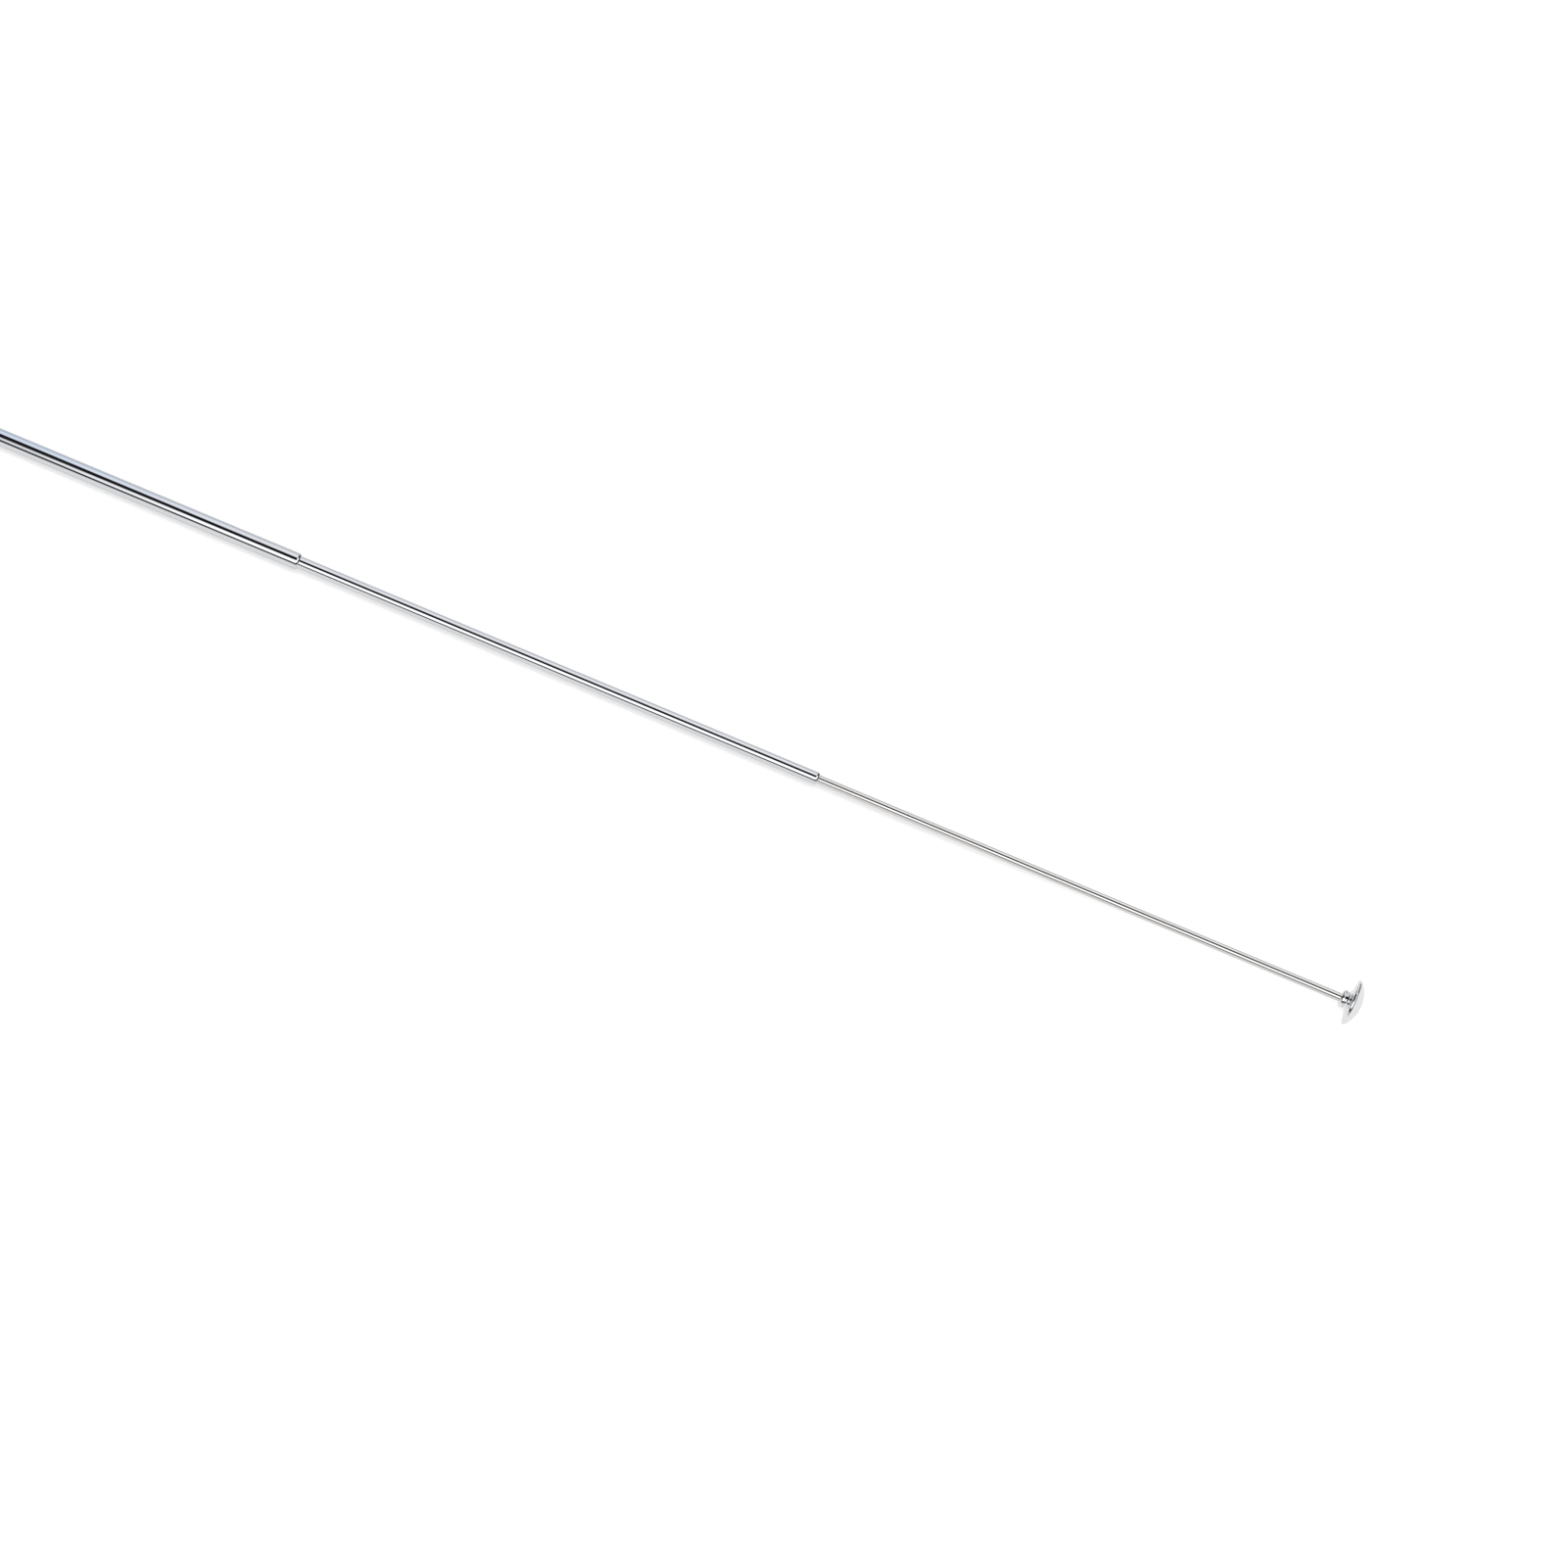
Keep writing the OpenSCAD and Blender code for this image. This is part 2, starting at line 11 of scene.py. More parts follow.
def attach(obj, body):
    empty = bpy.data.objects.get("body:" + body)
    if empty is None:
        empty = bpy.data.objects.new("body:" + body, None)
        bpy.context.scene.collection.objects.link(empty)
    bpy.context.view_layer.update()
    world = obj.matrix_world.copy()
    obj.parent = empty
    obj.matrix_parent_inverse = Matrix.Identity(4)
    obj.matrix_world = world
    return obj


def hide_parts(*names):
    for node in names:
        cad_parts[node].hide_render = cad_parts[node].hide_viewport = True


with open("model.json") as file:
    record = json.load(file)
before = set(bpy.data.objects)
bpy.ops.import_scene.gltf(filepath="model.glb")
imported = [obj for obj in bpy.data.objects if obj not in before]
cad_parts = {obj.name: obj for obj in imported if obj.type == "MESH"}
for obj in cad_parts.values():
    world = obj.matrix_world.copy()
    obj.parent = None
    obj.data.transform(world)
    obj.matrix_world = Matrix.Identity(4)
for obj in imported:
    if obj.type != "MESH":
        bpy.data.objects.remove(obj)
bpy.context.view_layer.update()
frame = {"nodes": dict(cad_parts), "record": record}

MM = 0.001
AROUND = 96
SHARP = math.radians(18)
BODY_OF = {n: body for body, nodes in frame["record"]["behaviour"]["bodies"].items() for n in nodes}
SLOT_OF = {p["node"]: p["material_slot"] for p in frame["record"]["subparts"]}

# Sizes in millimetres, as the part's source has them
ROD_D, STEP_D, TUBE_WALL, REACH, CAP_STAND, STOW_STEP = 2.0, 1.0, 0.2, 133.0, 0.8, 1.0
BUSH_LEN, BUSH_COLLAR, SLIDE_GAP, WAIST = 6.0, 1.2, 0.04, 0.14
LIP_LEN, LIP_FACE, LIP_GUIDE, LIP_SHOULDER, STOP_GAP = 0.75, 0.08, 0.5, 0.6, 0.05
CAP_D, CAP_RIM_T, CAP_DOME_H, CAP_EDGE_R, CAP_FLARE_LEN = 11.3, 1.05, 1.95, 0.5, 1.1
CAP_NECK_D, CAP_BEAD_D, CAP_BEAD_LEN, CAP_SEAT = 4.2, 4.5, 1.3, 2.8
KNUCKLE_R, PLUG_LEN, FLOOR_GAP, CRIMP_DEPTH, CRIMP_W, COLLAR_LEN = 3.9, 6.0, 1.0, 0.12, 0.8, 2.4
EDGE_CUT, TONGUE_T, TONGUE_R, SWING_GAP = 0.3, 2.4, 3.4, 0.5
WASHER_T, WASHER_R, WASHER_GAP, FORK_ROOT, FORK_FLATS = 0.26, 3.1, 0.02, 2.2, 6.8
SCREW_R, HEAD_R, HEAD_H, HEAD_POCKET, SLOT_W, TURN_GAP = 1.0, 1.9, 1.0, 0.7, 0.5, 0.04
SPINDLE_R, BARREL_LEN, BARREL_BORE_R, BARREL_GROOVE = 1.7, 13.0, 3.2, 0.2
SLEEVE_FLANGE, SLEEVE_LEN, POCKET_DEPTH, POCKET_R = 0.9, 7.0, 1.6, 2.75
CLIP_T, CLIP_IN_R, WAVE_H, FACE_GAP = 0.4, 1.4, 0.4, 0.05
PIN_R, PIN_REACH, PIN_BODY_R, PIN_HEAD_R, PIN_HEAD_T = 0.457, 2.2, 0.635, 1.0, 0.5
BEAD_R, CONTACT_R, CONTACT_LEN, BEARING_R, FLANGE_T, SPIGOT_LEN = 2.06, 2.28, 1.9, 2.45, 1.3, 4.2
NUT_HALF, NUT_THREAD_R, NUT_FRONT, NUT_WEB = 4.0, 2.95, 3.4, 1.8
RING_W, RING_BITE, RING_LAP, GASKET_T = 0.5, 0.18, 0.25, 0.6
BASE = 6


def section_r(k):
    return (ROD_D + (k - 1) * STEP_D) / 2


def bore_r(k):
    return section_r(k) - TUBE_WALL


def mouth_r(k):
    return section_r(k - 1) + SLIDE_GAP


# Places along the axis, from the plug to the cap
GASKET_X = CONTACT_LEN + FACE_GAP
WEB_X = GASKET_X + GASKET_T + FACE_GAP
NUT_BACK_X = WEB_X + NUT_WEB
RING_X = WEB_X + NUT_WEB / 2
FLANGE_X = NUT_BACK_X + FACE_GAP
BARREL_X = FLANGE_X + FLANGE_T
SPIGOT_X = BARREL_X + SPIGOT_LEN
HEAD_X = SPIGOT_X + PIN_HEAD_T
BARREL_END_X = BARREL_X + BARREL_LEN
SLEEVE_X = BARREL_END_X - SLEEVE_LEN
POCKET_X = SLEEVE_X + POCKET_DEPTH
CLIP_X = POCKET_X - FACE_GAP - WAVE_H - CLIP_T
SPINDLE_X = CLIP_X - CLIP_T
FORK_X = BARREL_END_X + SLEEVE_FLANGE + FACE_GAP
SLOT_FLOOR_X = FORK_X + FORK_ROOT
HINGE_X = SLOT_FLOOR_X + SWING_GAP + TONGUE_R
COLLAR_X = HINGE_X + KNUCKLE_R + SWING_GAP
PLUG_X = COLLAR_X + COLLAR_LEN
FLOOR_X = PLUG_X + PLUG_LEN
CRIMP_X = PLUG_X + PLUG_LEN / 2
ENGAGED = LIP_GUIDE + LIP_SHOULDER + STOP_GAP + BUSH_LEN
BASE_MOUTH_X = FLOOR_X + FLOOR_GAP + REACH - STOW_STEP + ENGAGED
HEAD_SEAT_Z = FORK_FLATS / 2 - HEAD_POCKET
SLOT_HALF = TONGUE_T / 2 + WASHER_T + 2 * WASHER_GAP


def mouth_x(k):
    return BASE_MOUTH_X + (BASE - k) * REACH


def rear_x(k):
    return PLUG_X if k == BASE else mouth_x(k + 1) - ENGAGED


CAP_X = mouth_x(2) + REACH + CAP_STAND
NECK_X = CAP_X + CAP_BEAD_LEN
RIM_BACK_X = NECK_X + CAP_FLARE_LEN
RIM_FRONT_X = RIM_BACK_X + CAP_RIM_T


# The camera: azimuth 0, 58 degrees up, rolled so that the mast falls to the right
CAMERA_ELEVATION = math.radians(58)
CAMERA_ROLL = math.radians(22.68)
CAMERA_DISTANCE = 2.059
CAMERA_AIM_X = 0.7037
CAMERA_AIM_DROP = 0.0042


def place_camera():
    data = bpy.data.cameras.new("studio_camera")
    data.lens, data.sensor_width = 200, 36
    camera = bpy.data.objects.new("studio_camera", data)
    bpy.context.scene.collection.objects.link(camera)
    forward = Vector((0, math.cos(CAMERA_ELEVATION), -math.sin(CAMERA_ELEVATION)))
    level_up = Vector((0, math.sin(CAMERA_ELEVATION), math.cos(CAMERA_ELEVATION)))
    along = Vector((1, 0, 0))
    right = math.cos(CAMERA_ROLL) * along + math.sin(CAMERA_ROLL) * level_up
    up = -math.sin(CAMERA_ROLL) * along + math.cos(CAMERA_ROLL) * level_up
    aim = along * CAMERA_AIM_X - level_up * CAMERA_AIM_DROP
    place = Matrix((right, up, -forward)).transposed().to_4x4()
    place.translation = aim - forward * CAMERA_DISTANCE
    camera.matrix_world = place
    bpy.context.scene.camera = camera


place_camera()
bpy.context.scene.view_settings.view_transform = "Standard"


# Node helpers
def node(tree, kind, links=None, **values):
    """A shader node; links maps its input sockets to other nodes' outputs, values are its properties."""
    made = tree.nodes.new(kind)
    for key, value in values.items():
        setattr(made, key, value)
    for key, value in (links or {}).items():
        if isinstance(value, bpy.types.NodeSocket):
            tree.links.new(value, made.inputs[key])
        else:
            made.inputs[key].default_value = value
    return made


def mapped(tree, scale, turn=(0, 0, 0)):
    place = node(tree, "ShaderNodeTexCoord")
    return node(tree, "ShaderNodeMapping", {"Vector": place.outputs["Object"], "Scale": scale, "Rotation": turn})


def noise(tree, scale, detail=3.0, size=1.0):
    grain = node(tree, "ShaderNodeTexNoise", {
        "Vector": mapped(tree, scale).outputs[0], "Scale": size, "Detail": detail, "Roughness": 0.6})
    return grain.outputs["Fac"]


def spread(tree, value, low, high, start=0.3, stop=0.7):
    return node(tree, "ShaderNodeMapRange", {
        "Value": value, "From Min": start, "From Max": stop, "To Min": low, "To Max": high}).outputs[0]


def blend_colours(tree, factor, first, second):
    made = node(tree, "ShaderNodeMix", data_type="RGBA")
    for socket, value in ((made.inputs[0], factor), (made.inputs[6], first), (made.inputs[7], second)):
        if isinstance(value, bpy.types.NodeSocket):
            tree.links.new(value, socket)
        else:
            socket.default_value = value if isinstance(value, float) else (*value, 1)
    return made.outputs[2]


def blank_material(name):
    made = bpy.data.materials.new(name)
    made.use_nodes = True
    tree = made.node_tree
    return made, tree, tree.nodes["Principled BSDF"]


LENGTHWISE = (14, 5200, 5200)
TURNED = (9000, 120, 120)
ROLLED = (2600, 2600, 2600)


def metal(name, colour, stained, rough, grain, bump, cloud=(26, 420, 420), edge=(0.70, 0.71, 0.73)):
    """Polished or turned metal: fine tool lines in roughness and relief, a faint drift in colour."""
    made, tree, shader = blank_material(name)
    shader.inputs["Metallic"].default_value = 1.0
    shader.inputs["Specular Tint"].default_value = (*edge, 1)
    lines = noise(tree, grain, 4.0)
    drift = noise(tree, cloud, 3.0)
    tint = blend_colours(tree, spread(tree, drift, 0.0, 1.0, 0.35, 0.75), colour, stained)
    tree.links.new(tint, shader.inputs["Base Color"])
    tree.links.new(spread(tree, lines, rough[0], rough[1]), shader.inputs["Roughness"])
    relief = node(tree, "ShaderNodeBump", {"Height": lines, "Strength": bump, "Distance": 0.00002})
    tree.links.new(relief.outputs[0], shader.inputs["Normal"])
    return made


def plastic(name, colour, shade, rough, grain, bump, waxy=0.0):
    made, tree, shader = blank_material(name)
    fine = noise(tree, grain, 3.0)
    drift = noise(tree, (300, 300, 300), 2.0)
    tree.links.new(blend_colours(tree, spread(tree, drift, 0.0, 1.0), colour, shade), shader.inputs["Base Color"])
    tree.links.new(spread(tree, fine, rough[0], rough[1]), shader.inputs["Roughness"])
    relief = node(tree, "ShaderNodeBump", {"Height": fine, "Strength": bump, "Distance": 0.00003})
    tree.links.new(relief.outputs[0], shader.inputs["Normal"])
    if waxy:
        shader.inputs["Subsurface Weight"].default_value = waxy
        shader.inputs["Subsurface Scale"].default_value = 0.0006
        shader.inputs["Subsurface Radius"].default_value = (1.0, 0.9, 0.8)
    return made


FINISH = {
    "chrome_tube": metal("drawn_chrome_tube", (0.770, 0.782, 0.800), (0.745, 0.758, 0.782), (0.015, 0.05),
                         LENGTHWISE, 0.03),
    "chrome_elbow": metal("chromed_elbow", (0.765, 0.775, 0.790), (0.735, 0.745, 0.765), (0.05, 0.11),
                          TURNED, 0.06, (600, 600, 600)),
    "chrome_cap": metal("chromed_tip_cap", (0.880, 0.885, 0.890), (0.860, 0.866, 0.874), (0.02, 0.06),
                        TURNED, 0.03, (500, 500, 500), edge=(1, 1, 1)),
    "steel_rod": metal("drawn_steel_rod", (0.780, 0.768, 0.755), (0.755, 0.738, 0.720), (0.03, 0.09),
                       LENGTHWISE, 0.05, edge=(0.50, 0.50, 0.50)),
    "steel_small": metal("plain_steel_fittings", (0.66, 0.655, 0.645), (0.60, 0.59, 0.575), (0.14, 0.26),
                         ROLLED, 0.12, (700, 700, 700)),
    "nickel_turned": metal("turned_nickel", (0.73, 0.715, 0.685), (0.69, 0.67, 0.63), (0.12, 0.24),
                           TURNED, 0.14, (500, 500, 500)),
    "gold_contact": metal("gold_plated_contact", (0.86, 0.66, 0.30), (0.80, 0.58, 0.24), (0.10, 0.20),
                          TURNED, 0.08, (900, 900, 900)),
    "brass_bush": metal("turned_brass_bush", (0.74, 0.58, 0.30), (0.66, 0.50, 0.25), (0.18, 0.32),
                        TURNED, 0.16, (700, 700, 700)),
    "bronze_spring": metal("rolled_bronze_spring", (0.67, 0.44, 0.27), (0.58, 0.37, 0.22), (0.16, 0.30),
                           ROLLED, 0.12, (700, 700, 700)),
    "white_insulator": plastic("white_insulating_bead", (0.86, 0.85, 0.82), (0.82, 0.81, 0.77), (0.34, 0.48),
                               (7000, 400, 400), 0.12, waxy=0.25),
    "black_insulator": plastic("black_insulating_sleeve", (0.020, 0.020, 0.021), (0.028, 0.028, 0.029),
                               (0.30, 0.46), (5000, 5000, 5000), 0.2),
    "silicone_gasket": plastic("red_silicone_gasket", (0.42, 0.035, 0.020), (0.36, 0.028, 0.016), (0.38, 0.55),
                               (4000, 4000, 4000), 0.15, waxy=0.1),
}


# Shaping helpers; shapes are made in millimetres and scaled at the end
def arc(cx, cr, rx, rr, start, stop, steps):
    """Points of an elliptic arc about (cx, cr); 0 degrees points outwards, 90 degrees along the axis."""
    turns = [math.radians(start + (stop - start) * i / steps) for i in range(steps + 1)]
    return [(cx + rx * math.sin(a), cr + rr * math.cos(a)) for a in turns]


HOLD = 0.1


def held(points, closed):
    """The profile with a point added near both ends of each long stretch, so that its shading stays true."""
    out = []
    for i, p in enumerate(points):
        out.append(p)
        if i + 1 == len(points) and not closed:
            break
        q = points[(i + 1) % len(points)]
        start, stop = Vector(p[:2]), Vector(q[:2])
        length = (stop - start).length
        near = HOLD + (p[2] if len(p) > 2 else 0)
        far = HOLD + (q[2] if len(q) > 2 else 0)
        if length > 2 * (near + far):
            out += [tuple(start.lerp(stop, near / length)), tuple(start.lerp(stop, 1 - far / length))]
    return out


def turned(points, around=AROUND):
    """Spins a profile of (x, radius) or (x, radius, rounding) about the axis."""
    bm = bmesh.new()
    closed = points[0][1] > 0 or points[-1][1] > 0
    points = held(points, closed)
    corners = [bm.verts.new((p[0], 0, p[1])) for p in points]
    for pair in zip(corners, corners[1:] + (corners[:1] if closed else [])):
        bm.edges.new(pair)
    for rounding in sorted({p[2] for p in points if len(p) > 2}):
        bmesh.ops.bevel(bm, geom=[v for v, p in zip(corners, points) if len(p) > 2 and p[2] == rounding],
                        offset=rounding, affect="VERTICES", segments=5, profile=0.5, material=-1)
    bmesh.ops.spin(bm, geom=bm.verts[:] + bm.edges[:], cent=(0, 0, 0), axis=(1, 0, 0), dvec=(0, 0, 0),
                   angle=2 * math.pi, steps=around, use_merge=True)
    bmesh.ops.remove_doubles(bm, verts=bm.verts[:], dist=1e-4)
    bmesh.ops.recalc_face_normals(bm, faces=bm.faces[:])
    return bm


def upright(bm, x):
    """Turns a shape spun about X so that its axis stands along Z at the hinge."""
    bmesh.ops.rotate(bm, verts=bm.verts[:], cent=(0, 0, 0), matrix=Matrix.Rotation(-math.pi / 2, 3, "Y"))
    bmesh.ops.translate(bm, verts=bm.verts[:], vec=(x, 0, 0))
    return bm


def block(x0, x1, y0, y1, z0, z1):
    bm = bmesh.new()
    bmesh.ops.create_cube(bm, size=1)
    bmesh.ops.scale(bm, verts=bm.verts[:], vec=(x1 - x0, y1 - y0, z1 - z0))
    bmesh.ops.translate(bm, verts=bm.verts[:], vec=((x0 + x1) / 2, (y0 + y1) / 2, (z0 + z1) / 2))
    return bm


def post(x, r, z0, z1, around=AROUND):
    bm = bmesh.new()
    bmesh.ops.create_cone(bm, cap_ends=True, segments=around, radius1=r, radius2=r, depth=z1 - z0)
    bmesh.ops.translate(bm, verts=bm.verts[:], vec=(x, 0, (z0 + z1) / 2))
    return bm


def loose(bm):
    """An unlinked-looking helper object that carries a shape through a Boolean."""
    mesh = bpy.data.meshes.new("shaping")
    bm.to_mesh(mesh)
    bm.free()
    made = bpy.data.objects.new("shaping", mesh)
    bpy.context.scene.collection.objects.link(made)
    return made


def carve(bm, cutter, operation="DIFFERENCE"):
    """The shape bm with cutter taken away, joined or kept in common."""
    body, tool = loose(bm), loose(cutter)
    change = body.modifiers.new("carve", "BOOLEAN")
    change.object, change.operation, change.solver = tool, operation, "EXACT"
    graph = bpy.context.evaluated_depsgraph_get()
    mesh = bpy.data.meshes.new_from_object(body.evaluated_get(graph))
    out = bmesh.new()
    out.from_mesh(mesh)
    for o in (body, tool):
        spent = o.data
        bpy.data.objects.remove(o)
        bpy.data.meshes.remove(spent)
    bpy.data.meshes.remove(mesh)
    bmesh.ops.remove_doubles(out, verts=out.verts[:], dist=1e-4)
    bmesh.ops.dissolve_degenerate(out, edges=out.edges[:], dist=1e-4)
    return out


def soften(bm, width, angle=32, segments=2):
    """Breaks the sharp outer edges of a milled piece."""
    limit = math.radians(angle)
    edges = [e for e in bm.edges if e.is_manifold and e.calc_face_angle(0) > limit and e.is_convex]
    bmesh.ops.bevel(bm, geom=edges, offset=width, affect="EDGES", segments=segments, profile=0.5, material=-1,
                    clamp_overlap=True)
    bmesh.ops.remove_doubles(bm, verts=bm.verts[:], dist=1e-4)
    return bm


def joined(*shapes):
    """Several closed shapes in one mesh."""
    out = bmesh.new()
    for bm in shapes:
        mesh = bpy.data.meshes.new("shaping")
        bm.to_mesh(mesh)
        bm.free()
        out.from_mesh(mesh)
        bpy.data.meshes.remove(mesh)
    return out


def place(bm, name, *nodes):
    """Makes the shape a piece that rides with its node's body and stands for the node."""
    bmesh.ops.scale(bm, verts=bm.verts[:], vec=(MM, MM, MM))
    for face in bm.faces:
        face.smooth = True
    for edge in bm.edges:
        edge.smooth = not (edge.is_manifold and edge.calc_face_angle(0) > SHARP)
    mesh = bpy.data.meshes.new(name)
    bm.to_mesh(mesh)
    bm.free()
    piece = bpy.data.objects.new(name, mesh)
    bpy.context.scene.collection.objects.link(piece)
    mesh.materials.append(FINISH[SLOT_OF[nodes[0]]])
    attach(piece, BODY_OF[nodes[0]])
    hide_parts(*nodes)
    return piece


# Plug
def connector_shell():
    back, front = RING_X - RING_W / 2 - FACE_GAP, RING_X + RING_W / 2 + FACE_GAP
    place(turned([
        (0, BEAD_R), (0, CONTACT_R, 0.06), (CONTACT_LEN, CONTACT_R), (CONTACT_LEN, BEARING_R, 0.06),
        (back, BEARING_R), (back, BEARING_R - RING_BITE), (front, BEARING_R - RING_BITE), (front, BEARING_R),
        (FLANGE_X, BEARING_R), (FLANGE_X, KNUCKLE_R - EDGE_CUT, 0.08), (FLANGE_X + EDGE_CUT, KNUCKLE_R, 0.08),
        (BARREL_X, KNUCKLE_R, 0.04), (BARREL_X, BARREL_BORE_R), (SPIGOT_X, BARREL_BORE_R, 0.06),
        (SPIGOT_X, BEAD_R)]), "plug_shell", "connector_shell")


def insulating_bead():
    place(turned([(0, PIN_BODY_R, 0.03), (0, BEAD_R, 0.04), (SPIGOT_X, BEAD_R, 0.04), (SPIGOT_X, PIN_BODY_R)]),
          "white_bead", "insulator_bead")


def centre_contact():
    tip = PIN_R / 2
    place(turned([(-PIN_REACH, 0)] + arc(tip - PIN_REACH, tip, tip, PIN_R - tip, -90, 0, 8) + [
        (0, PIN_R), (0, PIN_BODY_R), (SPIGOT_X, PIN_BODY_R), (SPIGOT_X, PIN_HEAD_R, 0.04),
        (HEAD_X, PIN_HEAD_R, 0.08), (HEAD_X, 0)], 64), "contact_pin", "centre_pin")


def helix(section, turns, per_turn, pitch):
    """Spins a flat section about the axis as it advances, and closes both ends."""
    bmesh.ops.spin(section, geom=section.verts[:] + section.edges[:], cent=(0, 0, 0), axis=(1, 0, 0),
                   dvec=(pitch / per_turn, 0, 0), angle=2 * math.pi * turns, steps=int(turns * per_turn),
                   use_merge=False)
    bmesh.ops.holes_fill(section, edges=[e for e in section.edges if e.is_boundary], sides=0)
    bmesh.ops.recalc_face_normals(section, faces=section.faces[:])
    return section


def contact_coil():
    wire, turns = 0.15, 3
    clear = FACE_GAP / 2
    start = HEAD_X + clear + wire
    rise = SPINDLE_X - clear - wire - start
    bm = bmesh.new()
    bmesh.ops.create_circle(bm, cap_ends=False, radius=wire, segments=12)
    bmesh.ops.rotate(bm, verts=bm.verts[:], cent=(0, 0, 0), matrix=Matrix.Rotation(math.pi / 2, 3, "X"))
    bmesh.ops.translate(bm, verts=bm.verts[:], vec=(start, 0, PIN_HEAD_R - wire))
    place(helix(bm, turns, 32, rise / turns), "contact_coil", "pin_spring")


def hexagon_nut():
    """A turned blank cut to a hexagon, with its thread as a helical ridge in the bore."""
    corner = NUT_HALF / math.cos(math.pi / 6)
    cut = corner - NUT_HALF + 0.06
    bearing = BEARING_R + TURN_GAP
    groove = bearing + RING_LAP
    root, crest, pitch = 3.16, 2.80, 0.7056
    back, front = RING_X - RING_W / 2 - FACE_GAP, RING_X + RING_W / 2 + FACE_GAP
    bm = turned([
        (-NUT_FRONT, root + 0.12), (-NUT_FRONT, corner - cut), (cut * 0.62 - NUT_FRONT, corner),
        (NUT_BACK_X - cut * 0.62, corner), (NUT_BACK_X, corner - cut), (NUT_BACK_X, bearing, 0.06), (front, bearing),
        (front, groove), (back, groove), (back, bearing), (WEB_X, bearing, 0.06), (WEB_X, NUT_THREAD_R),
        (GASKET_X - 0.1, NUT_THREAD_R), (GASKET_X - 0.3, root), (0.2 - NUT_FRONT, root)], 144)
    for side in range(6):
        a = math.radians(90 + 60 * side)
        flat = Vector((0, math.cos(a), math.sin(a)))
        cut_edges = bmesh.ops.bisect_plane(bm, geom=bm.verts[:] + bm.edges[:] + bm.faces[:], dist=1e-5,
                                           plane_co=flat * NUT_HALF, plane_no=flat, clear_outer=True)["geom_cut"]
        rim = [e for e in cut_edges if isinstance(e, bmesh.types.BMEdge) and e.is_boundary]
        bmesh.ops.contextual_create(bm, geom=rim)
    bmesh.ops.recalc_face_normals(bm, faces=bm.faces[:])
    soften(bm, 0.06)
    ridge = bmesh.new()
    tooth = [ridge.verts.new((x - NUT_FRONT + 0.55, 0, r)) for x, r in
             ((-0.33, root + 0.03), (-0.05, crest), (0.05, crest), (0.33, root + 0.03))]
    for a, b in zip(tooth, tooth[1:] + tooth[:1]):
        ridge.edges.new((a, b))
    place(joined(bm, helix(ridge, 6, 60, pitch)), "hexagon_nut", "coupling_nut")


def sealing_ring():
    inner, outer = BEARING_R + TURN_GAP, NUT_THREAD_R - TURN_GAP
    place(turned([(GASKET_X, inner, 0.12), (GASKET_X, outer, 0.12), (GASKET_X + GASKET_T, outer, 0.12),
                  (GASKET_X + GASKET_T, inner, 0.12)]), "sealing_ring", "nut_gasket")


def grip_barrel():
    """The barrel has a groove near each end and straight knurling between them."""
    inset, width, edge = 1.6, 0.5, 0.05
    a, b = BARREL_X + inset, BARREL_END_X - inset - width
    low = KNUCKLE_R - BARREL_GROOVE
    grip = (a + width + 0.5, b - 0.5)
    bm = turned([
        (BARREL_X, BARREL_BORE_R), (BARREL_X, KNUCKLE_R, 0.04),
        (a, KNUCKLE_R, edge), (a, low, edge), (a + width, low, edge), (a + width, KNUCKLE_R, edge),
        (grip[0], KNUCKLE_R), (grip[0] + 0.15, KNUCKLE_R), (grip[1] - 0.15, KNUCKLE_R), (grip[1], KNUCKLE_R),
        (b, KNUCKLE_R, edge), (b, low, edge), (b + width, low, edge), (b + width, KNUCKLE_R, edge),
        (BARREL_END_X - EDGE_CUT, KNUCKLE_R, 0.08), (BARREL_END_X, KNUCKLE_R - EDGE_CUT, 0.08),
        (BARREL_END_X, BARREL_BORE_R)], 144)
    for v in bm.verts:
        if grip[0] + 0.1 < v.co.x < grip[1] - 0.1 and v.co.yz.length > KNUCKLE_R - 0.01:
            if round(math.degrees(math.atan2(v.co.z, v.co.y)) / 2.5) % 2:
                v.co.yz = v.co.yz * (1 - 0.1 / KNUCKLE_R)
    place(bm, "grip_barrel", "swivel_barrel")


def sleeve():
    bore = SPINDLE_R + TURN_GAP
    end = BARREL_END_X + SLEEVE_FLANGE
    place(turned([
        (SLEEVE_X, POCKET_R), (SLEEVE_X, BARREL_BORE_R, 0.1), (BARREL_END_X, BARREL_BORE_R),
        (BARREL_END_X, KNUCKLE_R, 0.12), (end, KNUCKLE_R, 0.12), (end, bore, 0.05), (POCKET_X, bore),
        (POCKET_X, POCKET_R)]), "black_sleeve", "insulating_sleeve")


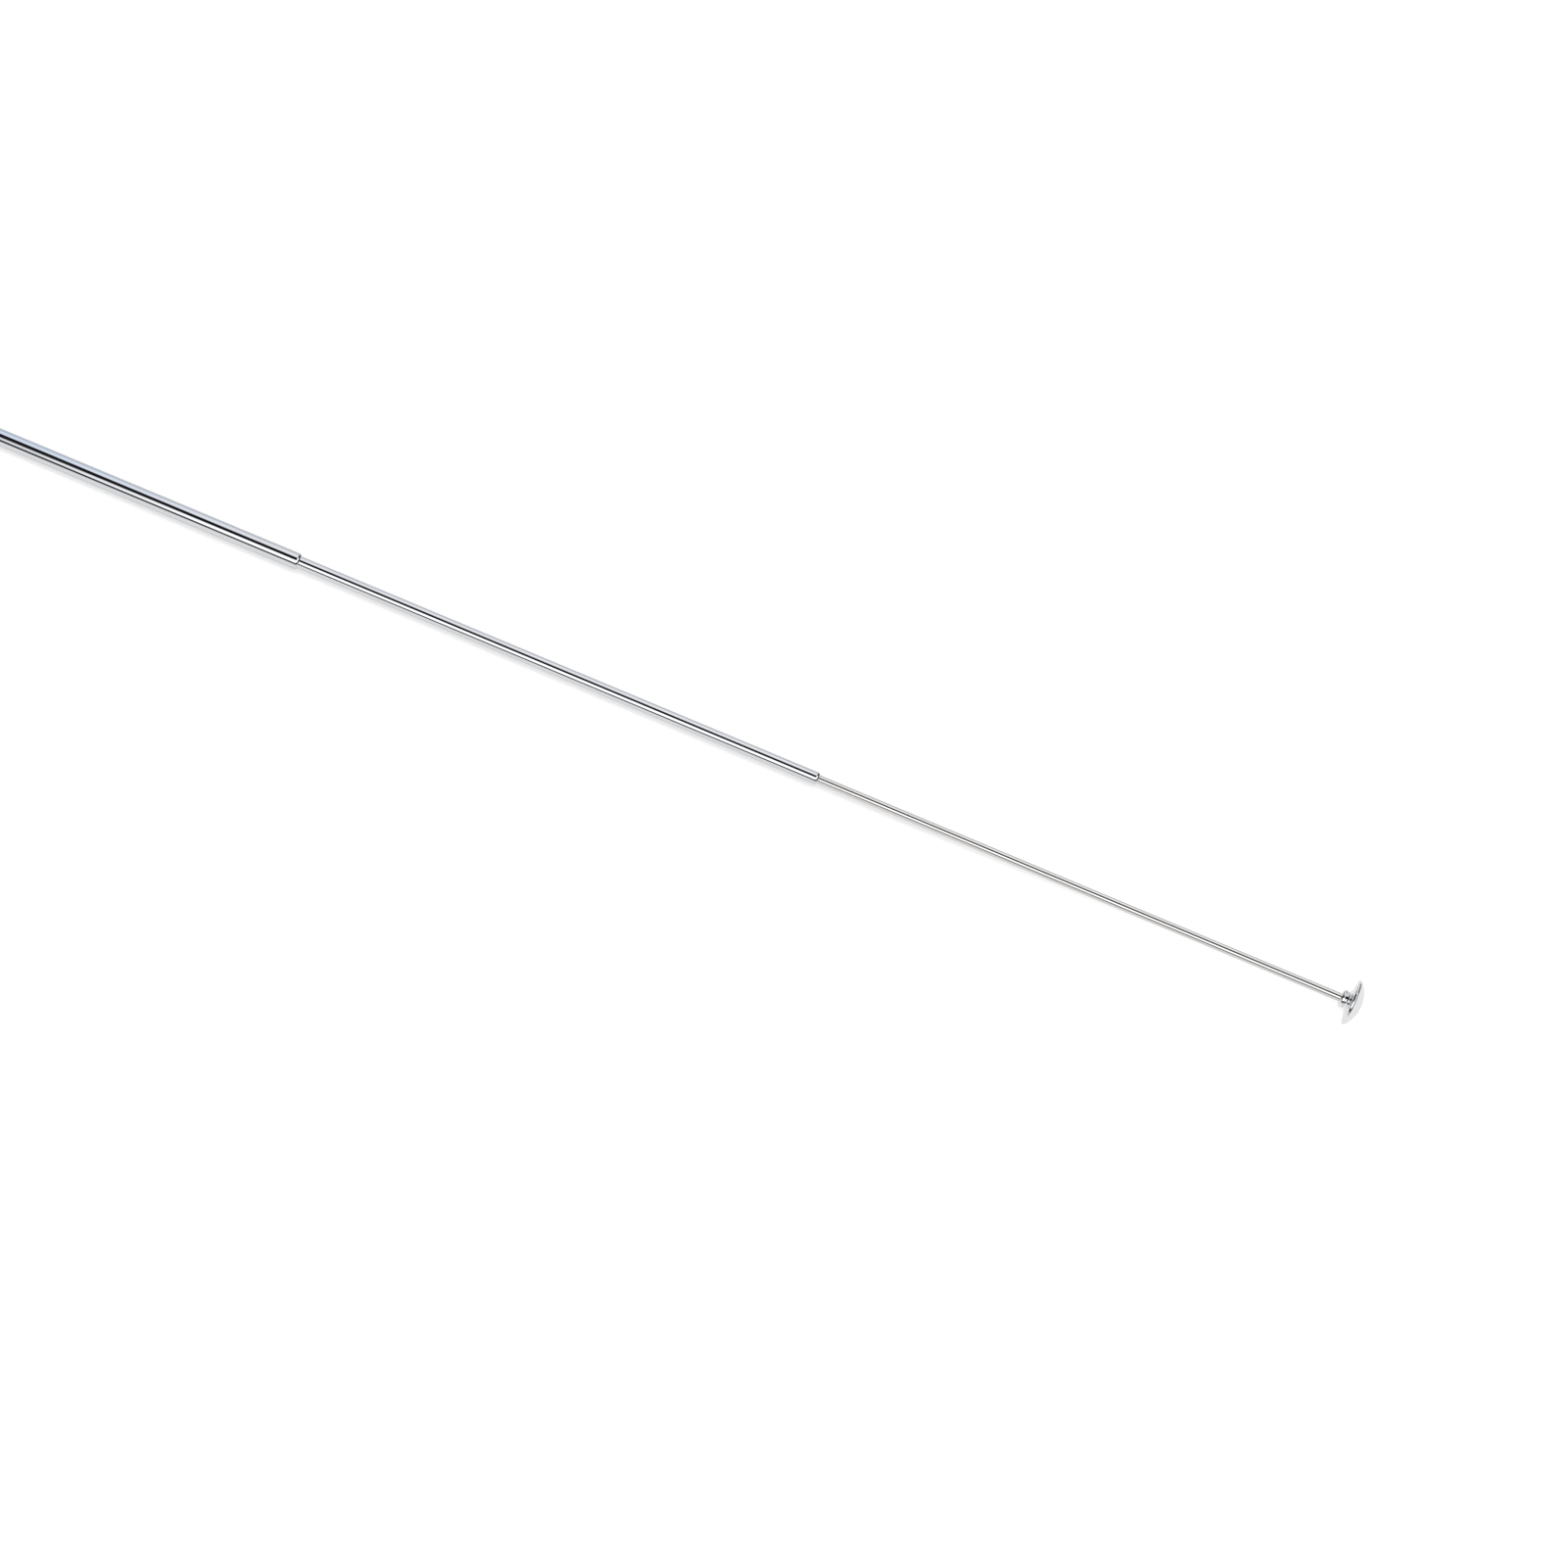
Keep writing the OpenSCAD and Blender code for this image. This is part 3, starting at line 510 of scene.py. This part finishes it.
# Elbow
def fork():
    ears_end = HINGE_X + KNUCKLE_R
    far = 12.0
    bm = turned([
        (SPINDLE_X, 0), (SPINDLE_X, SPINDLE_R - EDGE_CUT), (SPINDLE_X + EDGE_CUT, SPINDLE_R),
        (CLIP_X - FACE_GAP / 2, SPINDLE_R), (CLIP_X - FACE_GAP / 2, CLIP_IN_R),
        (CLIP_X + CLIP_T + FACE_GAP / 2, CLIP_IN_R), (CLIP_X + CLIP_T + FACE_GAP / 2, SPINDLE_R),
        (FORK_X, SPINDLE_R), (FORK_X, KNUCKLE_R - EDGE_CUT, 0.08), (FORK_X + EDGE_CUT, KNUCKLE_R, 0.08),
        (ears_end + 0.5, KNUCKLE_R), (ears_end + 0.5, 0)], 144)
    outline = post(HINGE_X, KNUCKLE_R, -far, far, 144)
    root = [v for v in outline.verts if v.co.x < HINGE_X - 1e-4]
    bmesh.ops.translate(outline, verts=root, vec=(-20, 0, 0))
    for v in outline.verts:
        if v.co.x < HINGE_X - 1e-4:
            v.co.y *= 1.4
    bm = carve(bm, outline, "INTERSECT")
    bm = carve(bm, block(SLOT_FLOOR_X, ears_end + far, -far, far, -SLOT_HALF, SLOT_HALF))
    for z0, z1 in ((FORK_FLATS / 2, far), (-far, -FORK_FLATS / 2)):
        bm = carve(bm, block(SLOT_FLOOR_X, ears_end + far, -far, far, z0, z1))
    bm = carve(bm, post(HINGE_X, SCREW_R + TURN_GAP, -far, far))
    bm = carve(bm, post(HINGE_X, HEAD_R + TURN_GAP, HEAD_SEAT_Z, far))
    place(soften(bm, 0.09, 40), "elbow_fork", "elbow_yoke")


def tongue():
    cheeks = TONGUE_T / 2
    bm = turned([(HINGE_X - TONGUE_R - 1, 0), (HINGE_X - TONGUE_R - 1, TONGUE_R), (COLLAR_X + 0.6, TONGUE_R),
                 (COLLAR_X + 0.6, 0)], 144)
    outline = post(HINGE_X, TONGUE_R, -cheeks, cheeks, 144)
    for v in outline.verts:
        if v.co.x > HINGE_X + 1e-4:
            v.co.x += 12
            v.co.y *= 1.4
    bm = carve(bm, outline, "INTERSECT")
    bore = bore_r(BASE)
    shoulder = turned([
        (COLLAR_X, 0), (COLLAR_X, KNUCKLE_R - EDGE_CUT, 0.08), (COLLAR_X + EDGE_CUT, KNUCKLE_R, 0.08),
        (PLUG_X - EDGE_CUT, KNUCKLE_R, 0.08), (PLUG_X, KNUCKLE_R - EDGE_CUT, 0.08), (PLUG_X, bore),
        (CRIMP_X - CRIMP_W / 2, bore), (CRIMP_X, bore - CRIMP_DEPTH), (CRIMP_X + CRIMP_W / 2, bore),
        (FLOOR_X, bore, 0.2), (FLOOR_X, 0)], 144)
    bm = carve(soften(bm, 0.12, 40), shoulder, "UNION")
    bm = carve(bm, post(HINGE_X, SCREW_R + TURN_GAP, -TONGUE_T, TONGUE_T))
    place(bm, "elbow_tongue_piece", "elbow_tongue")


def pivot_screw():
    crown = HEAD_H / 3
    top = HEAD_SEAT_Z + HEAD_H
    bm = turned([(EDGE_CUT - FORK_FLATS / 2, 0), (EDGE_CUT - FORK_FLATS / 2, SCREW_R, 0.12),
                 (HEAD_SEAT_Z, SCREW_R), (HEAD_SEAT_Z, HEAD_R, 0.05)]
                + arc(top - crown, 0, crown, HEAD_R, 0, 90, 8))
    bm = upright(bm, HINGE_X)
    slot = block(HINGE_X - 3 * HEAD_R, HINGE_X + 3 * HEAD_R, -SLOT_W / 2, SLOT_W / 2, top - HEAD_H / 2, top + 1)
    place(soften(carve(bm, slot), 0.04, 40), "pivot_screw", "hinge_screw")


def bronze_washers():
    low = TONGUE_T / 2 + WASHER_GAP
    rings = []
    for side in (1, -1):
        a, b = side * low, side * (low + WASHER_T)
        inner = SCREW_R + TURN_GAP
        rings.append(upright(turned([(a, inner), (a, WASHER_R, 0.05), (b, WASHER_R, 0.05), (b, inner)]), HINGE_X))
    place(joined(*rings), "bronze_washers", "friction_washers")


# Mast
def rolled_tube(k, name, node_name):
    """A drawn tube whose mouth is rolled in over the next section."""
    x1, outer, bore, guide = mouth_x(k), section_r(k), bore_r(k), mouth_r(k)
    face = guide + LIP_FACE
    rear = rear_x(k)
    groove, ridge = [], []
    if k == BASE:
        spots = ((-CRIMP_W / 2, 0), (0, CRIMP_DEPTH), (CRIMP_W / 2, 0))
        groove = [(CRIMP_X + dx, outer - dr, 0.12) for dx, dr in spots]
        ridge = [(CRIMP_X - dx, bore - dr) for dx, dr in spots]
    lip = arc(x1 - LIP_LEN, face, LIP_LEN, outer - face, 0, 90, 14)
    bm = turned([(rear, bore), (rear, outer, 0.05)] + groove + lip
                + [(x1 - 0.05, guide), (x1 - LIP_GUIDE, guide), (x1 - LIP_GUIDE - LIP_SHOULDER, bore)] + ridge)
    place(bm, name, node_name)


def brass_bush(k, name, node_name):
    x0, inner = rear_x(k), section_r(k)
    outer = bore_r(k + 1) - SLIDE_GAP
    x1, waist = x0 + BUSH_LEN, outer - WAIST
    place(turned([
        (x0, inner), (x0, outer, 0.08), (x0 + BUSH_COLLAR, outer, 0.04), (x0 + BUSH_COLLAR, waist),
        (x1 - BUSH_COLLAR, waist), (x1 - BUSH_COLLAR, outer, 0.04), (x1, outer, 0.08), (x1, inner)], 72),
        name, node_name)


def whip_rod():
    r, x1 = section_r(1), CAP_X + CAP_SEAT
    place(turned([(rear_x(1), 0), (rear_x(1), r, TUBE_WALL), (x1, r, TUBE_WALL), (x1, 0)]), "whip_rod", "tip_rod")


def mushroom_cap():
    neck, bead, edge = CAP_NECK_D / 2, CAP_BEAD_D / 2, CAP_EDGE_R
    flare = CAP_D / 2 - edge
    rise = CAP_DOME_H + edge
    dome = (flare * flare + rise * rise - edge * edge) / (2 * CAP_DOME_H)
    start = math.degrees(math.atan2(dome - rise, flare))
    half = CAP_BEAD_LEN / 2
    profile = [(CAP_X + CAP_SEAT, 0), (CAP_X + CAP_SEAT, ROD_D / 2), (CAP_X, ROD_D / 2)]
    profile += arc(CAP_X + half, bead - half, half, half, -90, 60, 14)
    profile += arc(NECK_X, flare, CAP_FLARE_LEN, neck - flare, 0, 90, 18)
    profile += arc(RIM_BACK_X + edge, flare, edge, edge, -90, 0, 10)[1:]
    profile += arc(RIM_FRONT_X - edge, flare, edge, edge, 0, start, 8)
    profile += arc(RIM_FRONT_X + CAP_DOME_H - dome, 0, dome, dome, start, 90, 24)[1:]
    place(turned(profile, 144), "mushroom_cap", "tip_cap")


connector_shell()
insulating_bead()
centre_contact()
contact_coil()
hexagon_nut()
sealing_ring()
grip_barrel()
sleeve()
fork()
tongue()
pivot_screw()
bronze_washers()
rolled_tube(6, "base_mast_tube", "base_tube")
for k in (5, 4, 3, 2):
    rolled_tube(k, f"mast_tube_{k}", f"tube_{k}")
    brass_bush(k, f"bush_of_tube_{k}", f"tube_{k}_bush")
brass_bush(1, "bush_of_rod", "rod_bush")
whip_rod()
mushroom_cap()

# The small sprung parts keep their CAD shape
for name, solid in frame["nodes"].items():
    if not solid.hide_render:
        solid.data.materials.clear()
        solid.data.materials.append(FINISH[SLOT_OF[name]])


# Table, light and surroundings
TABLE_DROP = CAP_D / 2 + 0.02


def white_table():
    """A white top that keeps the shadow; a painted glow makes it burn out a little more towards the tip, as in the
    photograph.
    """
    bm = bmesh.new()
    bmesh.ops.create_grid(bm, x_segments=1, y_segments=1, size=20)
    bmesh.ops.translate(bm, verts=bm.verts[:], vec=(0.4, 0, -TABLE_DROP * MM))
    mesh = bpy.data.meshes.new("white_table")
    bm.to_mesh(mesh)
    bm.free()
    table = bpy.data.objects.new("white_table", mesh)
    bpy.context.scene.collection.objects.link(table)
    made, tree, shader = blank_material("white_table_top")
    tree.nodes.remove(shader)
    out = tree.nodes["Material Output"]
    seen = node(tree, "ShaderNodeLightPath")
    mirrored = node(tree, "ShaderNodeMath", {
        0: seen.outputs["Is Glossy Ray"], 1: seen.outputs["Is Transmission Ray"]}, operation="ADD", use_clamp=True)
    spot = node(tree, "ShaderNodeSeparateXYZ", {0: node(tree, "ShaderNodeTexCoord").outputs["Object"]})
    # Painted light: to the camera the table glows brighter towards the tip, a painted pool of light, not a lamp.
    painted_glow_to_tip = node(tree, "ShaderNodeMapRange", {
        "Value": spot.outputs["X"], "From Min": 0.735, "From Max": 0.80, "To Min": 1.30, "To Max": 1.75})
    direct = node(tree, "ShaderNodeMath", {0: seen.outputs["Is Camera Ray"], 1: painted_glow_to_tip.outputs[0]},
                  operation="MULTIPLY")
    # Painted reflection: to shiny metal the table in front of the mast, towards the tip, glows much dimmer, a
    # painted dark strip; lit is what stays of the glow.
    near = node(tree, "ShaderNodeMapRange", {
        "Value": spot.outputs["Y"], "From Min": -0.05, "From Max": -0.02, "To Min": 1.0, "To Max": 0.0})
    painted_strip_tipward = node(tree, "ShaderNodeMapRange", {
        "Value": spot.outputs["X"], "From Min": 0.70, "From Max": 0.73, "To Min": 0.0, "To Max": 0.9})
    shade = node(tree, "ShaderNodeMath", {0: near.outputs[0], 1: painted_strip_tipward.outputs[0]}, operation="MULTIPLY")
    lit = node(tree, "ShaderNodeMath", {0: 1.0, 1: shade.outputs[0]}, operation="SUBTRACT")
    seen_glow = node(tree, "ShaderNodeMath", {0: mirrored.outputs[0], 1: 0.95}, operation="MULTIPLY")
    strength = node(tree, "ShaderNodeMath", {0: seen_glow.outputs[0], 1: lit.outputs[0], 2: direct.outputs[0]},
                    operation="MULTIPLY_ADD")
    either = node(tree, "ShaderNodeMath", {0: mirrored.outputs[0], 1: seen.outputs["Is Camera Ray"]},
                  operation="ADD", use_clamp=True)
    share = node(tree, "ShaderNodeMath", {0: either.outputs[0], 1: 0.42}, operation="MULTIPLY")
    paint = node(tree, "ShaderNodeBsdfDiffuse", {"Color": (0.9, 0.9, 0.9, 1)})
    glow = node(tree, "ShaderNodeEmission", {"Color": (1, 1, 1, 1), "Strength": strength.outputs[0]})
    mix = node(tree, "ShaderNodeMixShader", {0: share.outputs[0], 1: paint.outputs[0], 2: glow.outputs[0]})
    tree.links.new(mix.outputs[0], out.inputs["Surface"])
    mesh.materials.append(made)


def main_lamp():
    data = bpy.data.lights.new("overhead_softbox", "SUN")
    data.energy, data.angle = 1.5, 0.22
    lamp = bpy.data.objects.new("overhead_softbox", data)
    lamp.rotation_euler = (math.radians(22.5), 0, 0)
    lamp.location = (0.5, -0.2, 1.5)
    lamp.visible_glossy = False
    bpy.context.scene.collection.objects.link(lamp)


# What polished metal mirrors, by the angle up from the camera's side: table, gap, box, gap, bright room, dim room
ROOM_GAIN = 2.0
ROOM_LEFT = [
    (-180, (0.60, 0.64, 0.72)), (-0.5, (0.9, 0.9, 0.9)), (0.5, (0.05, 0.05, 0.055)), (26, (0.035, 0.035, 0.04)),
    (31, (0.84, 0.85, 0.87)), (52, (0.84, 0.85, 0.88)), (57, (0.012, 0.013, 0.018)), (103, (0.012, 0.013, 0.02)),
    (107, (0.84, 0.93, 1.06)), (140, (0.78, 0.88, 1.04)), (165, (0.54, 0.62, 0.78)), (180, (0.40, 0.46, 0.58))]
ROOM_MIDDLE = [
    (-180, (0.60, 0.64, 0.72)), (3.5, (0.9, 0.9, 0.9)), (5.5, (0.06, 0.06, 0.065)), (25, (0.045, 0.045, 0.05)),
    (29, (1.45, 1.45, 1.45)), (61, (1.45, 1.45, 1.45)), (66, (0.012, 0.012, 0.014)), (102, (0.012, 0.012, 0.015)),
    (106, (1.00, 1.01, 1.03)), (140, (0.94, 0.95, 0.98)), (165, (0.62, 0.65, 0.70)), (180, (0.44, 0.47, 0.52))]
ROOM_RIGHT = [
    (-180, (0.60, 0.64, 0.72)), (1, (0.9, 0.9, 0.9)), (3, (0.06, 0.06, 0.065)), (23, (0.045, 0.045, 0.05)),
    (27, (1.50, 1.50, 1.50)), (63, (1.50, 1.50, 1.50)), (68, (0.012, 0.012, 0.014)), (103, (0.012, 0.012, 0.015)),
    (107, (1.02, 1.03, 1.04)), (138, (1.10, 1.11, 1.13)), (155, (0.72, 0.74, 0.78)), (180, (0.46, 0.48, 0.52))]
ROOM_TIP = [
    (-180, (0.90, 0.90, 0.91)), (-0.5, (0.9, 0.9, 0.9)), (0.5, (0.05, 0.05, 0.055)), (32, (0.05, 0.05, 0.055)),
    (38, (1.4, 1.4, 1.4)), (108, (1.4, 1.4, 1.4)), (113, (0.03, 0.03, 0.035)), (180, (0.03, 0.03, 0.035))]


def room_ramp(tree, turn, stops):
    ramp = node(tree, "ShaderNodeValToRGB", {0: turn})
    band = ramp.color_ramp
    band.elements.remove(band.elements[-1])
    for i, (degrees, colour) in enumerate(stops):
        spot = band.elements[0] if i == 0 else band.elements.new(degrees / 360 + 0.5)
        spot.position = degrees / 360 + 0.5
        spot.color = (*[c / ROOM_GAIN for c in colour], 1)
    return ramp.outputs[0]


def studio_world():
    """White to the camera, an even light, and to shiny metal the room of the photograph: boxes and dark gaps."""
    world = bpy.data.worlds.new("white_studio")
    bpy.context.scene.world = world
    world.use_nodes = True
    tree = world.node_tree
    out = tree.nodes["World Output"]
    plain = tree.nodes["Background"]
    split = node(tree, "ShaderNodeSeparateXYZ", {0: node(tree, "ShaderNodeTexCoord").outputs["Generated"]})
    toward = node(tree, "ShaderNodeMath", {0: split.outputs["Y"], 1: -1.0}, operation="MULTIPLY")
    angle = node(tree, "ShaderNodeMath", {0: split.outputs["Z"], 1: toward.outputs[0]}, operation="ARCTAN2")
    turn = node(tree, "ShaderNodeMapRange", {
        "Value": angle.outputs[0], "From Min": -math.pi, "From Max": math.pi, "To Min": 0.0, "To Max": 1.0})
    room = room_ramp(tree, turn.outputs[0], ROOM_MIDDLE)
    for start, stop, stops in ((-0.16, -0.12, ROOM_LEFT), (-0.10, -0.065, ROOM_MIDDLE),
                               (-0.065, 0.02, ROOM_RIGHT), (0.11, 0.17, ROOM_TIP)):
        across = node(tree, "ShaderNodeMapRange", {
            "Value": split.outputs["X"], "From Min": start, "From Max": stop, "To Min": 0.0, "To Max": 1.0})
        room = blend_colours(tree, across.outputs[0], room, room_ramp(tree, turn.outputs[0], stops))
    side = node(tree, "ShaderNodeMath", {0: split.outputs["X"]}, operation="ABSOLUTE")
    end = node(tree, "ShaderNodeMapRange", {
        "Value": side.outputs[0], "From Min": 0.56, "From Max": 0.64, "To Min": 0.0, "To Max": 1.0})
    room = blend_colours(tree, end.outputs[0], room, (0.02, 0.02, 0.022))
    shown = node(tree, "ShaderNodeBackground", {"Color": room, "Strength": ROOM_GAIN})
    path = node(tree, "ShaderNodeLightPath")
    clear = node(tree, "ShaderNodeBackground", {"Color": (1, 1, 1, 1), "Strength": 1.0})
    plain.inputs["Color"].default_value = (1, 1, 1, 1)
    plain.inputs["Strength"].default_value = 0.5
    direct = node(tree, "ShaderNodeMath", {0: path.outputs["Is Camera Ray"], 1: path.outputs["Is Transmission Ray"]},
                  operation="ADD", use_clamp=True)
    first = node(tree, "ShaderNodeMixShader", {0: direct.outputs[0], 1: plain.outputs[0], 2: clear.outputs[0]})
    last = node(tree, "ShaderNodeMixShader", {
        0: path.outputs["Is Glossy Ray"], 1: first.outputs[0], 2: shown.outputs[0]})
    tree.links.new(last.outputs[0], out.inputs["Surface"])


white_table()
main_lamp()
studio_world()
